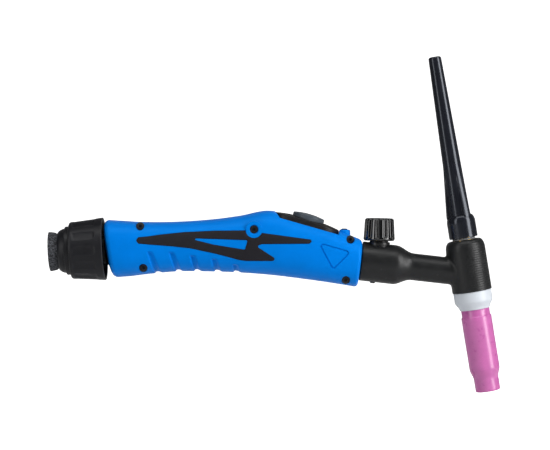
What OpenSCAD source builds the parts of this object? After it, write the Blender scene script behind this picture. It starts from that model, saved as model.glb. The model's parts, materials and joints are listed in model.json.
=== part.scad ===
// Gas-cooled TIG welding torch: angled head with a ceramic nozzle and a long
// back cap, gas valve on the body, two-shell handle with a trigger, and a
// ball swivel that leads the jacketed cable out of the handle.
//
// Frame: +X runs from the cable to the head, +Z is up, and the torch is
// mirrored about the plane Y = 0. The origin is where the tube's axis meets
// the head's axis, which is also the electrode's axis. Units are millimetres.

/* [Angles] */
// Droop of the tube below the handle's direction
tube_droop = 6.5; // [5.5:0.5:7.5]
// Angle between the tube and the nozzle
head_angle = 74.25; // [73:0.25:76]
// Rise of the swivel's axis towards the handle
swivel_rise = 3; // [2:0.5:4]

/* [Head] */
// Outside radius of the rubber-covered head
head_r = 11.4; // [11.2:0.1:12]
// Height of the head's crown above the origin, along the head's axis
head_top = 19.4; // [19:0.1:20]
// Depth of the head's lower face below the origin
head_bottom = 10.3; // [10:0.1:10.5]

/* [Tube and valve block] */
// Outside radius of the slim tube
tube_r = 7.75; // [7.4:0.05:8.2]
// Outside radius of the thick part that holds the valve
block_r = 11.3; // [11:0.1:11.6]
// Distance from the origin back to the valve's axis
valve_back = 52.4; // [52:0.1:53.5]

/* [Nozzle] */
// Length of the ceramic nozzle
nozzle_length = 47.6; // [42:0.1:50]
// Outside radius of the nozzle's barrel
nozzle_r = 8.7; // [8.4:0.05:9]
// Outside radius of the nozzle's tip
nozzle_tip_r = 7.15; // [6.8:0.05:7.6]
// Radius of the gas outlet
nozzle_bore_r = 5.55; // [5.2:0.05:5.7]

/* [Back cap] */
// Height of the cap's tip above the origin, along the head's axis
cap_top = 125.7; // [110:0.1:130]
// Outside radius of the cap's collar
cap_collar_r = 8.2; // [8:0.05:8.4]
// Outside radius at the cap's tip
cap_tip_r = 3.7; // [3.5:0.05:4.2]

/* [Electrode] */
// Radius of the collet's bore, for a 2.4 mm electrode
electrode_bore_r = 1.25; // [1.23:0.01:1.28]

/* [Handle] */
// Radius of the screw recesses in the right shell
recess_r = 2.45; // [2.35:0.05:2.6]

/* [Trigger] */
// Radius of the round trigger button
button_r = 9.2; // [8.8:0.05:9.3]
// Travel of the trigger button
button_travel = 1.5; // [1:0.1:1.5]

/* [Swivel and cable] */
// Radius of the swivel ball
ball_r = 12.8; // [12.6:0.1:12.9]
// Outside radius of the cable jacket
jacket_r = 10.7; // [10.5:0.1:11]
// Distance from the ball's centre back to the cable's cut end
cable_end = 42; // [40:1:60]

/* [Hidden] */
$fn = 64;

head_tilt = 90 - head_angle - tube_droop;
fit = 0.05;   // radial clearance of everything that slides, turns or screws
cut = 60;     // long enough to cut right through anything

// ---- frames ----

// Z along the head's axis, upwards to the back cap.
module in_head() {
    rotate([0, -head_tilt, 0]) children();
}

// X along the tube's axis, forwards to the head.
module in_tube() {
    rotate([0, tube_droop, 0]) children();
}

// Z along the valve's axis, upwards to the knob, from the tube's axis. The valve
// leans back from the tube's own normal, so that its knob stands almost upright.
valve_lean = 5.5;
module in_valve() {
    in_tube() translate([-valve_back, 0, 0]) rotate([0, -valve_lean, 0]) children();
}

// Z along the bleed plug's axis, square to the tube.
module in_plug() {
    in_tube() translate([-54.7, 0, 0]) children();
}

// Z along the trigger's travel, outwards, from the middle of the pad.
pad_place = [-93.3, 0, 30.2];
pad_slope = 16;
module in_pad() {
    translate(pad_place) rotate([0, pad_slope, 0]) children();
}

// X along the swivel's axis, forwards into the handle, from the ball's centre.
swivel_place = [-199, 0, 14.6];
module in_swivel() {
    translate(swivel_place) rotate([0, -swivel_rise, 0]) children();
}

// ---- round parts ----

// Revolves an outline of [radius, distance along X] points about X.
module turned(points) {
    rotate([0, 90, 0]) rotate_extrude() polygon(points);
}

// A cylinder along X from x0 to x1.
module rod(r, x0, x1) {
    translate([x0, 0, 0]) rotate([0, 90, 0]) cylinder(h = x1 - x0, r = r);
}

// A cylinder along Z from z0 to z1.
module post(r, z0, z1) {
    translate([0, 0, z0]) cylinder(h = z1 - z0, r = r);
}

// Quarter ellipse from [r, z] that turns in by dr while it goes on by dz.
function crown(r, z, dr, dz, steps = 6) =
    [for (i = [0:steps]) [r - dr + dr * cos(90 * i / steps), z + dz * sin(90 * i / steps)]];

// S-shaped change of radius from r0 at z0 to r1 at z1.
function ogee(r0, z0, r1, z1, steps = 8) =
    [for (i = [0:steps]) [r0 + (r1 - r0) * (1 - cos(180 * i / steps)) / 2,
        z0 + (z1 - z0) * i / steps]];

// ---- handle's outside form ----

// Key sections along the handle: [x, top z, bottom z, half width].
handle_keys = [
    [-204.3, 30.6, -2.2, 15.8],
    [-196, 30.1, -1.6, 15.6],
    [-186, 29.5, -0.4, 15.0],
    [-168, 29.6, 1.1, 14.0],
    [-148, 30.9, 1.0, 14.0],
    [-132, 33.0, 0.4, 14.6],
    [-115, 36.0, -0.8, 15.3],
    [-100, 31.9, -2.5, 15.4],
    [-84, 27.2, -4.6, 15.0],
    [-72, 22.7, -6.4, 14.5],
    [-63, 19.1, -7.9, 13.9]];
handle_rear = handle_keys[0][0];
handle_front = handle_keys[len(handle_keys) - 1][0];
section_power = 2.6;   // 2 gives an ellipse, more gives flatter sides
rear_lean = -0.16;     // how far the rear end leans, x per z
front_lean = 0.114;    // how far the front end leans, x per z
front_round = 3;       // rounding of the front end's edge

// The rear end's dome: [distance behind the rim, distance in from the outside].
rear_dome = [[3.9, 8], [3.4, 5], [2.8, 2.6], [2, 1], [1, 0.3], [0, 0]];

// Slope of column c at key i, from its neighbours.
function key_slope(i, c) =
    let (a = max(i - 1, 0), b = min(i + 1, len(handle_keys) - 1))
    (handle_keys[b][c] - handle_keys[a][c]) / (handle_keys[b][0] - handle_keys[a][0]);

// Column c of the key sections at x, by a smooth cubic through the keys.
function handle_at(x, c) =
    let (
        passed = len([for (k = handle_keys) if (k[0] <= x) 1]),
        i = min(len(handle_keys) - 2, max(0, passed - 1)),
        x0 = handle_keys[i][0],
        h = handle_keys[i + 1][0] - x0,
        t = (x - x0) / h)
    (2 * pow(t, 3) - 3 * pow(t, 2) + 1) * handle_keys[i][c]
    + (pow(t, 3) - 2 * pow(t, 2) + t) * h * key_slope(i, c)
    + (3 * pow(t, 2) - 2 * pow(t, 3)) * handle_keys[i + 1][c]
    + (pow(t, 3) - pow(t, 2)) * h * key_slope(i + 1, c);

// Lean of the section at x, blended from one end's lean to the other's.
function section_lean(x) =
    rear_lean + (front_lean - rear_lean) * (x - handle_rear) / (handle_front - handle_rear);

function spow(v, p) = sign(v) * pow(abs(v), p);

// Half of the section at x on the side y > 0, moved in by inset.
function half_section(x, inset, steps = 14) =
    let (
        k = max(x, handle_rear),
        top = handle_at(k, 1),
        bottom = handle_at(k, 2),
        mid = (top + bottom) / 2,
        half = (top - bottom) / 2 - inset,
        width = handle_at(k, 3) - inset)
    [for (i = [0:steps])
        let (a = 180 * i / steps - 90, z = half * spow(sin(a), 2 / section_power))
        [x + section_lean(k) * z, width * spow(cos(a), 2 / section_power), mid + z]];

// A closed solid through sections with equal numbers of points.
module loft(sections) {
    n = len(sections[0]);
    last = len(sections) - 1;
    sides = [for (j = [0:last - 1], i = [0:n - 1])
        let (a = j * n + i, b = j * n + (i + 1) % n)
        each [[a, b, a + n], [b, b + n, a + n]]];
    polyhedron(
        points = [for (s = sections) each s],
        faces = concat(sides, [[for (i = [n - 1:-1:0]) i]],
            [[for (i = [0:n - 1]) last * n + i]]));
}

// Half of the handle's form, on the side y > 0.
module half_form() {
    pitch = 12;
    straight = handle_front - front_round - handle_rear;
    count = round(straight / pitch);
    loft(concat(
        [for (d = rear_dome) half_section(handle_rear - d[0], d[1])],
        [for (i = [1:count]) half_section(handle_rear + straight * i / count, 0)],
        [for (a = [30, 60, 90]) half_section(
            handle_front - front_round * (1 - sin(a)), front_round * (1 - cos(a)))]));
}

// ---- handle's details ----

// Screws that join the two shells: [x, z, height of the head's seat from Y = 0].
screws = [[-188.3, 27.3, 7.6], [-186.4, 3.5, 8.5], [-123.5, 25.5, 10.9], [-68.6, 19.7, 5.9],
    [-71.3, -3.5, 7.9]];
ring_screw = screws[2];
ring_r = 4.9;
boss_r = 3.4;
thread_r = 1.25;
head_h = 1.6;

// Places its children on one screw's axis, with Z along +Y.
module on_screw(s) {
    translate([s[0], 0, s[1]]) rotate([-90, 0, 0]) children();
}

socket_r = 14.2;       // radius of the round socket for the swivel's race
neck_r = 8;            // radius of the body's neck, held by the shells' front wall
neck_end = 72;         // distance of the neck's end from the origin
hollow_places = [-186.5, -168, -148, -132, -115, -100, -84, -66.5];
hollow_inset = 4.2;    // height of the shells' top and bottom walls
hollow_half = 10.4;    // half of the hollow's width
inlay_floor = 12.3;    // distance of the inlay's pocket floor from Y = 0
inlay_top = 14.1;      // distance of the inlay's crown from Y = 0

pad_half = 19.3;       // half of the trigger pad's length
pad_wide = 10.2;       // half of the trigger pad's width
pad_base = -6;         // underside of the pad, in the pad's frame
button_at = 0.45;      // the button's place along the pad
button_base = -0.7;    // underside of the button
button_floor = button_base - button_travel - 0.1;

// Stadium-shaped plate of the pad's outline, from z0 to z1.
module pad_plate(grow, z0, z1) {
    hull()
        for (x = [pad_wide - pad_half, pad_half - pad_wide])
            translate([x, 0, 0]) post(pad_wide + grow, z0, z1);
}

latch_place = [-71.9, 0, 25.7];
latch_r = 1.95;

// Outline of the rubber inlay, as [x, z], with a window and a gap for the ring.
module inlay_outline() {
    difference() {
        union() {
            translate([-188.5, 19.2]) circle(r = 1.9);
            translate([-112.6, 8.5]) circle(r = 1);
            polygon([[-188.5, 21.1], [-183.6, 21.6], [-176.8, 22.6], [-170, 23.3], [-163.2, 24],
                [-156.4, 24.3], [-146.2, 24.8], [-126.8, 25], [-118.9, 23.6], [-91.3, 19.8], [-90.8, 18.7],
                [-92.3, 17.3], [-119, 17.1], [-122, 16], [-111.9, 9.3], [-112.6, 7.5],
                [-128.1, 7.5], [-132.7, 8.2], [-139.4, 10.1], [-146.2, 11.8], [-159.8, 14.7],
                [-170, 15.8], [-183.6, 16.9], [-188.5, 17.3]]);
        }
        polygon([[-157, 19.6], [-156.4, 20.3], [-127.2, 19.3], [-128.7, 14.1], [-132.6, 14.7],
            [-146.2, 16.9]]);
        translate([ring_screw[0], ring_screw[1]]) circle(r = ring_r + 0.1);
    }
}

// The inlay's outline as a block on the side y > 0, from y0 outwards.
module inlay_block(y0) {
    translate([0, y0 + cut, 0]) rotate([90, 0, 0]) linear_extrude(cut) inlay_outline();
}

// Side outline of the hollow inside the handle, as [x, z], with the screw posts left in.
module hollow_outline() {
    difference() {
        polygon(concat(
            [for (x = hollow_places) [x, handle_at(x, 1) - hollow_inset]],
            [for (i = [len(hollow_places) - 1:-1:0])
                [hollow_places[i], handle_at(hollow_places[i], 2) + hollow_inset]]));
        for (s = screws) translate([s[0], s[1]]) circle(r = boss_r);
    }
}

// One shell on the side y > 0, without its screw holes.
module half_shell() {
    difference() {
        half_form();
        translate([0, hollow_half, 0]) rotate([90, 0, 0])
            linear_extrude(2 * hollow_half) hollow_outline();
        inlay_block(inlay_floor);
        translate([0, -cut + fit, 0]) cube([9 * cut, 2 * cut, 4 * cut], center = true);
        in_swivel() {
            sphere(r = socket_r);
            rod(10.5, 0, socket_r + 4);
            translate([-8.4, 0, 0]) rotate([0, -90, 0]) cylinder(h = 6, r1 = 11, r2 = 15);
        }
        in_tube() rod(neck_r + fit, -neck_end, -valve_back);
        in_pad() pad_plate(fit, pad_base - 0.3, 8);
        translate(latch_place) post(latch_r + fit, -8, 8);
    }
}

// ---- the nodes ----

module body_cover() {
    color("#36373a") difference() {
        union() {
            in_head() rotate_extrude() polygon(concat(
                [[0, -head_bottom], [head_r, -head_bottom]],
                crown(head_r, head_top - 5.2, 2.8, 5.2), [[0, head_top]]));
            in_tube() turned(concat(
                [[0, -neck_end], [neck_r, -neck_end], [neck_r, -62.7], [block_r, -62.7]],
                ogee(block_r, -43.5, tube_r, -33), [[tube_r, 0], [0, 0]]));
        }
        in_head() post(8.25, -cut, 16.4);
        in_head() post(6.6, 0, cut);
        in_tube() rod(4.05, -45, 0);
        in_tube() rod(7.55, -62.05, -42);
        in_tube() rod(6.05, -80, -45);
        in_valve() post(6.3, 0, 20);
        in_plug() post(1.55, -20, 0);
    }
}

tube_stop = 6.3;       // the gas tube stops this far from the head's axis
module head_core() {
    color("#c79a4a") difference() {
        in_head() post(8.2, -head_bottom, 16.35);
        in_head() post(4.8, -cut, 6.5);
        in_head() post(6.2, 6, cut);
        in_tube() rod(4.05, -cut, -tube_stop + fit);
        in_tube() rod(2.6, -cut, 0);
    }
}

module gas_tube() {
    color("#b87333") in_tube() difference() {
        rod(4, -45.9, -tube_stop);
        rod(2.6, -cut, 0);
    }
}

module valve_block() {
    color("#c79a4a") difference() {
        in_tube() union() {
            rod(7.5, -62, -42.05);
            rod(6, -74, -61);
        }
        in_tube() rod(4.05, -46, 0);
        in_tube() rod(1.6, -cut - 14, -45);
        in_tube() rod(4.4, -cut - 20, -66);
        in_valve() post(2.6, -3, 4);
        in_valve() post(4.45, 3, 20);
        in_valve() post(6.3, 7.55, 20);
        in_plug() post(1.55, -20, -3.5);
    }
}

module valve_gland() {
    color("#2c2d30") in_valve() difference() {
        union() {
            post(4.4, 3.05, 8);
            post(6.25, 7.6, 12);
            post(5.3, 11, 12.55);
        }
        post(2.55, 0, 20);
        post(3.9, 4.3, 6.9);
    }
}

module valve_plug() {
    color("#2c2d30") in_plug() post(1.5, -12, -4);
}

module valve_oring() {
    color("#1f1f1f") in_valve() translate([0, 0, 5])
        rotate_extrude() translate([3.16, 0]) circle(r = 0.6);
}

module valve_stem() {
    color("#c79a4a") in_valve() rotate_extrude()
        polygon([[0, -0.4], [0.9, 0.5], [2.5, 2], [2.5, 13.5], [1.9, 13.5], [1.9, 22], [0, 22]]);
}

module valve_knob() {
    flutes = 12;
    flute_phase = 20;
    bottom = 12.8;
    top = 25.7;
    wall_r = 9;
    color("#3a3d40") in_valve() difference() {
        rotate_extrude() polygon(concat(
            [[0, bottom], [wall_r - 0.5, bottom], [wall_r, bottom + 0.9]],
            crown(wall_r - 0.1, top - 1.9, 1.4, 1.9), [[0, top]]));
        post(2.55, bottom - 1, 13.7);
        post(1.95, bottom - 1, 22.1);
        for (i = [0:flutes - 1])
            rotate([0, 0, flute_phase + i * 360 / flutes]) translate([wall_r + 0.3, 0, 0])
                post(1.1, bottom + 1.7, 30);
    }
}

module collet_body() {
    color("#c07a3c") in_head() difference() {
        rotate_extrude() polygon([[1.4, -45.5], [3, -45.5], [4.2, -42.5], [4.2, -35.5],
            [6.2, -32.5], [6.2, -10.4], [4.75, -10.4], [4.75, 5.9], [2.45, 5.9], [2.45, -42],
            [1.4, -43]]);
        for (a = [0, 90])
            translate([0, 0, -38.5]) rotate([90, 0, a]) cylinder(h = 20, r = 0.6, center = true);
    }
}

module collet() {
    color("#c9865a") in_head() difference() {
        rotate_extrude() polygon([[electrode_bore_r, -41.9], [2, -41.9], [2.4, -41.2],
            [2.4, 8], [electrode_bore_r, 8]]);
        translate([0, 0, -42]) cube([8, 0.4, 34], center = true);
    }
}

module cup_gasket() {
    color("#d9dde0") in_head() rotate_extrude() polygon(concat(
        [[6.3, -head_bottom - 0.05], [10.95, -head_bottom - 0.05]],
        ogee(10.95, -15.8, 8.8, -20.75), [[6.3, -20.75]]));
}

nozzle_top = -20.8;
module nozzle() {
    tip = nozzle_top - nozzle_length;
    color("#c46baa") in_head() rotate_extrude() polygon(concat(
        [[6.25, nozzle_top], [8.15, nozzle_top], [8.15, nozzle_top - 3.9],
            [nozzle_r, nozzle_top - 4.4], [nozzle_r, tip + 13.5]],
        ogee(nozzle_r, tip + 13.5, nozzle_tip_r, tip + 7.2),
        [for (p = crown(nozzle_tip_r, 0, 0.8, 0.8, 4)) [p[0], tip + 0.8 - p[1]]],
        [[nozzle_bore_r, tip], [nozzle_bore_r, -34.2], [6.25, -33.4]]));
}

cap_bottom = head_top + 1.2;
module back_cap_oring() {
    color("#b9bdc0") in_head() translate([0, 0, head_top + 0.6])
        rotate_extrude() translate([7.15, 0]) circle(r = 0.55);
}

module back_cap_insert() {
    color("#c79a4a") in_head() rotate_extrude() polygon([[1.7, 8.1], [6.15, 8.1],
        [6.15, cap_bottom], [4.5, cap_bottom], [4.5, 29], [1.7, 29]]);
}

module back_cap() {
    collar_top = cap_bottom + 8.6;
    cone_base = collar_top + 4.6;
    cone_r = 6;
    fin_top = cone_base + 26;
    fin_flare = 1.9;
    fin_wide = 4.6;
    color("#34373c") in_head() difference() {
        union() {
            rotate_extrude() polygon(concat(
                [[0, cap_bottom + 0.05], [cap_collar_r, cap_bottom + 0.05]],
                crown(cap_collar_r, collar_top, cap_collar_r - cone_r, 4.6),
                crown(cap_tip_r, cap_top - 1.2, 1.2, 1.2), [[0, cap_top]]));
            intersection() {
                rotate_extrude() polygon([[0, collar_top], [cone_r + fin_flare, collar_top + 2],
                    [cone_r + fin_flare, cone_base], [cone_r - 1, fin_top + 4], [0, fin_top + 4]]);
                for (a = [60, 180, 300])
                    rotate([0, 0, a]) translate([0, -fin_wide / 2, collar_top])
                        cube([cut, fin_wide, fin_top]);
            }
        }
        post(4.55, 0, 29.1);
        post(2, 0, cap_top - 6);
    }
}

module shell_left() {
    color("#0b78e0") difference() {
        half_shell();
        for (s = screws) on_screw(s) post(thread_r + fit, -1, 5.2);
    }
}

module shell_right() {
    color("#0b78e0") difference() {
        mirror([0, 1, 0]) half_shell();
        for (s = screws) mirror([0, 1, 0]) on_screw(s) {
            post(thread_r + fit, -1, cut);
            post(recess_r, s[2], cut);
        }
    }
}

module half_inlay() {
    crown_r = 30;
    intersection() {
        inlay_block(inlay_floor + 0.02);
        translate([ring_screw[0], inlay_top - crown_r, 15.5]) rotate([0, 90, 0])
            cylinder(h = 4 * cut, r = crown_r, center = true, $fn = 256);
    }
}

module inlay_left() {
    color("#27262e") half_inlay();
}

module inlay_right() {
    color("#27262e") mirror([0, 1, 0]) half_inlay();
}

module shell_screws() {
    color("#1b1b1d")
        for (s = screws) mirror([0, 1, 0]) on_screw(s) difference() {
            union() {
                post(2.2, s[2] + fit, s[2] + head_h);
                post(thread_r, -5, s[2] + 0.5);
            }
            translate([0, 0, s[2] + head_h - 0.8]) cylinder(h = 2, r = 1.1, $fn = 6);
        }
}

module trigger_pad() {
    rise = 1.5;
    color("#2c2b2d") in_pad() difference() {
        intersection() {
            pad_plate(0, pad_base, rise);
            translate([0, 0, rise - 120]) rotate([90, 0, 0])
                cylinder(h = cut, r = 120, center = true);
            translate([0, 0, rise - 45]) rotate([0, 90, 0])
                cylinder(h = cut, r = 45, center = true);
        }
        translate([button_at, 0, 0]) post(button_r + 0.15, button_floor, 5);
        translate([button_at, 0, 0]) post(1.7, pad_base - 1, 0);
    }
}

module pad_latch() {
    color("#1d2836") translate(latch_place) rotate_extrude()
        polygon(concat([[0, -6], [latch_r, -6]], crown(latch_r, -0.9, 0.9, 0.9), [[0, 0]]));
}

module trigger_button() {
    rim = 3.5;
    color("#4b535c") in_pad() translate([button_at, 0, 0]) rotate_extrude() polygon(concat(
        [[0, button_base], [button_r, button_base]], crown(button_r, rim - 0.4, 0.4, 0.4, 3),
        [for (r = [7, 5, 3, 0]) [r, rim + 1.4 - r * r / 60]]));
}

module switch_plunger() {
    color("#b9402f") in_pad() translate([button_at, 0, 0]) post(1.6, -6.4, button_base - 0.05);
}

module switch_body() {
    color("#222326") in_pad() translate([button_at, 0, 0]) difference() {
        translate([-6, -6, -12.6]) cube([12, 12, 12.6 + pad_base - fit]);
        post(1.7, -8.4, 0);
    }
}

module power_nipple() {
    color("#c79a4a") in_tube() difference() {
        union() {
            rod(4.35, -76, -66.6);
            translate([-79, 0, 0]) rotate([0, 90, 0]) cylinder(h = 4.9, r = 6.5, $fn = 6);
            rod(3.5, -92, -78);
        }
        rod(2, -100, -cut);
    }
}

module crimp_ferrule() {
    color("#b8bcc0") in_tube() difference() {
        rod(5.9, -93, -80.5);
        rod(5.05, -100, -cut);
    }
}

// The hose follows the tube's axis, bends level, and runs back to the swivel.
hose_drop = 1.6;       // the hose's place below the swivel's centre
lead_rise = 5.1;       // the control lead's place above the swivel's centre
hose_stop = -185;      // the swivel flexes the hose behind this place
hose_start = -79.3;
module hose_path(r0, r1) {
    level = swivel_place[2] - hose_drop;
    corner = -level / tan(tube_droop);
    front_length = hose_start - corner / cos(tube_droop);
    translate([corner, 0, level]) rotate([0, tube_droop / 2, 0]) {
        difference() {
            rotate([0, tube_droop / 2, 0]) ring_rod(r0, r1, -5, front_length);
            translate([-cut, 0, 0]) cube(2 * cut, center = true);
        }
        difference() {
            rotate([0, -tube_droop / 2, 0]) ring_rod(r0, r1, hose_stop - corner, 5);
            translate([cut, 0, 0]) cube(2 * cut, center = true);
        }
    }
}

// A flat ring, or a disc when r0 is 0.
module ring(r0, r1) {
    difference() {
        circle(r = r1);
        if (r0 > 0) circle(r = r0);
    }
}

// A pipe along X from x0 to x1, or a rod when r0 is 0.
module ring_rod(r0, r1, x0, x1) {
    translate([x0, 0, 0]) rotate([0, 90, 0]) linear_extrude(x1 - x0) ring(r0, r1);
}

module power_hose() {
    color("#303033") hose_path(3.6, 5);
}

module conductor() {
    color("#b87333") difference() {
        hose_path(0, 2.9);
        in_tube() rod(4, -92.3, -75);
    }
}

module control_lead() {
    color("#26262a") translate([0, 0, swivel_place[2] + lead_rise]) rod(1.4, hose_stop, -102.4);
}

module swivel_race() {
    color("#e6e4dc") in_swivel() intersection() {
        difference() {
            sphere(r = socket_r - fit);
            sphere(r = ball_r + fit);
        }
        rod(socket_r + 1, -5.5, 5.5);
    }
}

module swivel_ball() {
    color("#232427") in_swivel() difference() {
        union() {
            intersection() {
                sphere(r = ball_r);
                rod(ball_r + 1, -ball_r, 9.5);
            }
            rod(8.2, -31, -8);
        }
        rod(6.8, -cut, cut);
    }
}

nut_rear = -29.9;
nut_front = -10.4;
clamp_rear = -36.6;    // the clamping ferrule's rear end
squeezed_r = jacket_r - 0.6;   // the jacket's radius where the ferrule clamps it
module swivel_nut() {
    color("#292a30") in_swivel() turned([[8.25, nut_rear], [15.6, nut_rear],
        [16.5, nut_rear + 0.9], [18.05, nut_front - 0.4], [17.7, nut_front], [16.9, nut_front],
        [16.2, nut_front - 4], [15.4, nut_rear + 8], [8.25, nut_rear + 7]]);
}

module jacket_ferrule() {
    color("#26272d") in_swivel() turned([[8.25, nut_rear - 0.05], [13.9, nut_rear - 0.05],
        [13.9, -32.3], [12.9, -32.6], [12.3, -34.6], [11.2, clamp_rear],
        [squeezed_r + fit, clamp_rear], [squeezed_r + fit, -31.4], [8.25, -31.4]]);
}

module cable_jacket() {
    inner_r = jacket_r - 1.3;
    color("#313236") in_swivel() turned([[inner_r, -cable_end], [jacket_r, -cable_end],
        [jacket_r, clamp_rear - 2], [squeezed_r, clamp_rear - 1], [squeezed_r, -31.5],
        [inner_r, -31.5]]);
}

tail_front = 10.5;
module power_hose_tail() {
    color("#303033") in_swivel() translate([0, 0, -hose_drop]) difference() {
        rod(5, 1 - cable_end, tail_front);
        rod(3.6, -cut - cable_end, cut);
    }
}

module conductor_tail() {
    color("#b87333") in_swivel() translate([0, 0, -hose_drop]) rod(2.9, 1 - cable_end, tail_front);
}

module control_lead_tail() {
    color("#26262a") in_swivel() translate([0, 0, lead_rise]) rod(1.4, 1 - cable_end, tail_front);
}

body_cover();
head_core();
gas_tube();
valve_block();
valve_gland();
valve_plug();
valve_oring();
valve_stem();
valve_knob();
collet_body();
collet();
cup_gasket();
nozzle();
back_cap_oring();
back_cap_insert();
back_cap();
shell_right();
shell_left();
inlay_right();
inlay_left();
shell_screws();
trigger_pad();
pad_latch();
trigger_button();
switch_plunger();
switch_body();
power_nipple();
crimp_ferrule();
power_hose();
conductor();
control_lead();
swivel_race();
swivel_ball();
swivel_nut();
jacket_ferrule();
cable_jacket();
power_hose_tail();
conductor_tail();
control_lead_tail();
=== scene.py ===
"""Visual model of a gas-cooled TIG torch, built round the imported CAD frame.

Shapes are worked out in millimetres in the frame's own axes and turned into metres when a
piece is made. Each sub-part has its own function, and so has each kind of material.
"""

import json
import math

import bmesh
import bpy
import numpy as np
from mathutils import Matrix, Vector
from mathutils.geometry import delaunay_2d_cdt


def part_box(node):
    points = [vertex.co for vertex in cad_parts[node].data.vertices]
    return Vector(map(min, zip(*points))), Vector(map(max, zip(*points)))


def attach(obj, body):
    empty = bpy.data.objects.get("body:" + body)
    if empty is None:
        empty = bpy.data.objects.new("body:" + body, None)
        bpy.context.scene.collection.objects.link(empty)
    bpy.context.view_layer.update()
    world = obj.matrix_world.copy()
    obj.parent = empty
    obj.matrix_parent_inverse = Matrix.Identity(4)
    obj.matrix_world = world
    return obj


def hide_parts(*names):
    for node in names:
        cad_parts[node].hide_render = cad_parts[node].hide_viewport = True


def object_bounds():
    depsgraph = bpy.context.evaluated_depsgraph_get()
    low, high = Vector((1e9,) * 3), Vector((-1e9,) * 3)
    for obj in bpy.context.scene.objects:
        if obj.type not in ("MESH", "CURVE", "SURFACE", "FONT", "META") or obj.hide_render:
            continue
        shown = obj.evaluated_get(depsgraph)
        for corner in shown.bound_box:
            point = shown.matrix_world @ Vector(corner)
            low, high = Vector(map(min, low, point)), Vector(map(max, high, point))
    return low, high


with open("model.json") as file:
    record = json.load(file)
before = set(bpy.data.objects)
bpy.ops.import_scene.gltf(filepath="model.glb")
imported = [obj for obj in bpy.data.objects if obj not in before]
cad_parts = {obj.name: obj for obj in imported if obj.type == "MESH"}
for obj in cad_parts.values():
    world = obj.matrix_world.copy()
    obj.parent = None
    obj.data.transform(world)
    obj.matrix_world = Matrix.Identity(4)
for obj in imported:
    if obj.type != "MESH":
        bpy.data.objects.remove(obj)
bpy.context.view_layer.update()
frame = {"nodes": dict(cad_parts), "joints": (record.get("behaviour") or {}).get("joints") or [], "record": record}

MM = 0.001
TAU = 2 * math.pi
JOINTS = {j["name"]: j for j in frame["joints"]}
COLOURS = {m["slot"]: m["base_color"][:3] for m in frame["record"]["materials"]}
BODY_OF = {n: b for b, ns in frame["record"]["behaviour"]["bodies"].items() for n in ns}
SLOT_OF = {s["node"]: s["material_slot"] for s in frame["record"]["subparts"]}


# ---------------------------------------------------------------- places

def place(axis, origin_m=(0, 0, 0)):
    """A local frame in mm: Z along axis, Y the frame's own Y, as (3x3 matrix, origin)."""
    z = np.array(axis, float)
    z /= np.linalg.norm(z)
    y = np.array([0.0, 1.0, 0.0])
    x = np.cross(y, z)
    x /= np.linalg.norm(x)
    return np.column_stack([x, np.cross(z, x), z]), np.array(origin_m, float) / MM


def to_world(points, where):
    turn, origin = where
    return np.asarray(points, float) @ turn.T + origin


def local_box(node, where):
    """Lowest and highest corners of a CAD node in a local frame, in mm."""
    turn, origin = where
    co = np.array([v.co for v in frame["nodes"][node].data.vertices], float) / MM
    local = (co - origin) @ turn
    return local.min(0), local.max(0)


def at(centre):
    """The frame's own axes, moved to a centre in mm."""
    return np.eye(3), np.asarray(centre, float)


WORLD = at((0, 0, 0))
HEAD = place(JOINTS["cap_turn"]["axis"])
VALVE = place(JOINTS["valve_turn"]["axis"], JOINTS["valve_turn"]["pos_m"])
SWIVEL = place(JOINTS["cable_spin"]["axis"], JOINTS["cable_spin"]["pos_m"])
# The gas tube is a plain pipe whose axis passes through the frame's origin.
TUBE = place(-np.mean([v.co for v in frame["nodes"]["gas_tube"].data.vertices], axis=0))
PRESS = place([-a for a in JOINTS["trigger_press"]["axis"]])
# The trigger's own frame has its origin on the button's axis, level with the button's underside.
_low, _high = local_box("trigger_button", PRESS)
BUTTON_R = (_high[1] - _low[1]) / 2
_centre = [_high[0] - BUTTON_R, 0, _low[2]]
TRIGGER = (PRESS[0], to_world([_centre], PRESS)[0])


# ---------------------------------------------------------------- mesh helpers

MERGE_GAP = 1e-7       # points closer than this, in metres, are one point of a new piece
CUT_GAP = 2e-6         # the same after a cut, which leaves nearly equal points
CRUMB_FACES = 40       # a loose island with fewer faces than this is left over from a cut


def shade(mesh, sharp=None):
    """Smooth shading, broken at edges that turn by more than sharp degrees."""
    mesh.polygons.foreach_set("use_smooth", [True] * len(mesh.polygons))
    if sharp:
        mesh.set_sharp_from_angle(angle=math.radians(sharp))


def merge_points(bm, gap):
    """Merges points closer than gap, in metres, and drops the faces that this flattens."""
    bmesh.ops.remove_doubles(bm, verts=bm.verts, dist=gap)
    bmesh.ops.dissolve_degenerate(bm, edges=bm.edges, dist=gap)


def close_poles(mesh):
    """Merges the points that meet on the axis, and turns the faces outwards."""
    bm = bmesh.new()
    bm.from_mesh(mesh)
    merge_points(bm, MERGE_GAP)
    bmesh.ops.recalc_face_normals(bm, faces=bm.faces)
    bm.to_mesh(mesh)
    bm.free()


def add_piece(name, mesh, node):
    """A mesh as an object of the scene, riding like the CAD node that it stands for."""
    piece = bpy.data.objects.new(name, mesh)
    bpy.context.scene.collection.objects.link(piece)
    if node:
        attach(piece, BODY_OF[node])
    return piece


def make(name, points, faces, node, where=WORLD, closed=True):
    """A smooth-shaded piece, or a cutter if it has no node, from points in mm."""
    mesh = bpy.data.meshes.new(name)
    mesh.from_pydata((to_world(points, where) * MM).tolist(), [], [list(map(int, f)) for f in faces])
    mesh.validate()
    shade(mesh)
    if closed:
        close_poles(mesh)
    return add_piece(name, mesh, node)


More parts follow.
